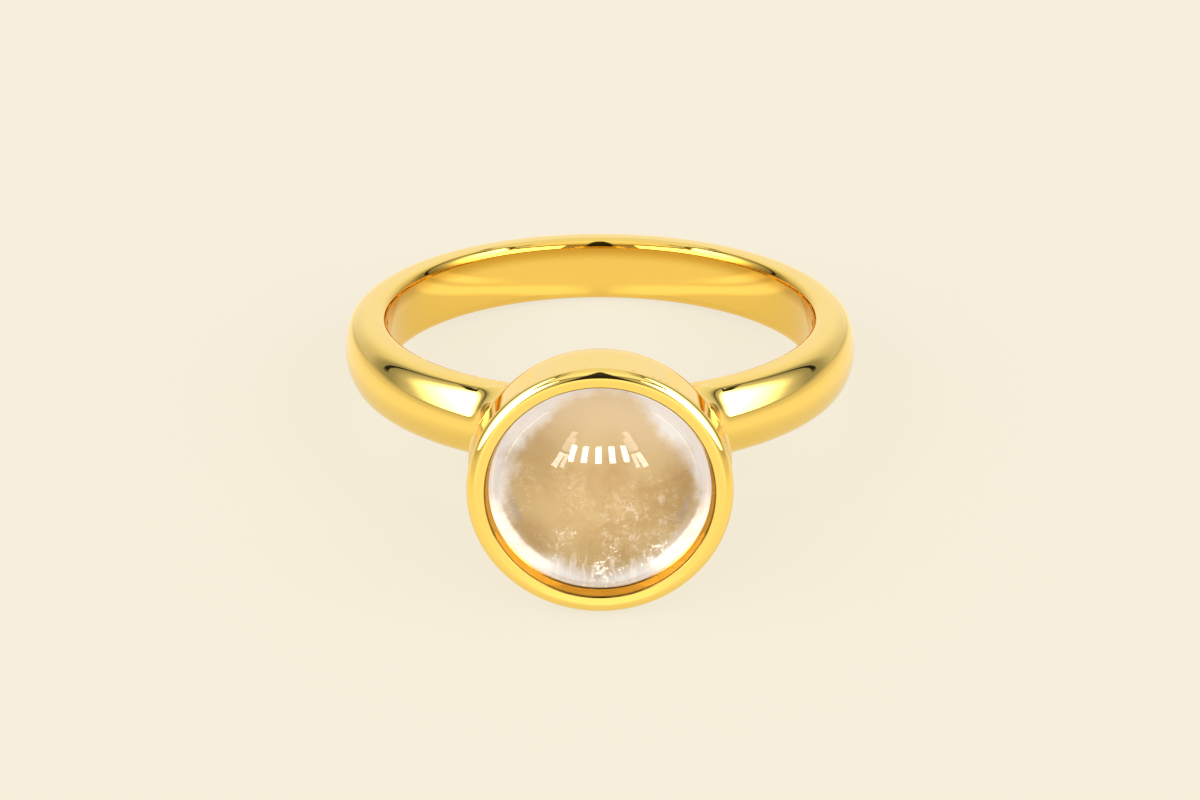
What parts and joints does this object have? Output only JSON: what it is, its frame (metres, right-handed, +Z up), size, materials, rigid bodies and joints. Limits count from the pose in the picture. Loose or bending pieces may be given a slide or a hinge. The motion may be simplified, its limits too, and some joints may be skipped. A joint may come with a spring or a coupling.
{
  "type": "rock crystal ring",
  "caption": "Ring with a round domed rock crystal held in a plain polished cup on a smooth domed band, lying on its side.",
  "frame": {"origin": "middle of the whole ring's box seen from above, on the surface that the ring rests on", "axes": "+Z up from that surface; the stone faces -Y and is raised by the rest tilt of 7.8 degrees; the finger hole's axis leans from +Z towards +Y by the same tilt"},
  "size_m": [0.0204, 0.0262, 0.0091],
  "materials": {
    "gold": "polished yellow gold",
    "rock_crystal": "polished clear quartz with fine inclusions"
  },
  "bodies": {
    "root": {"band_and_setting": "gold", "rock_crystal": "rock_crystal"}
  },
  "joints": []
}
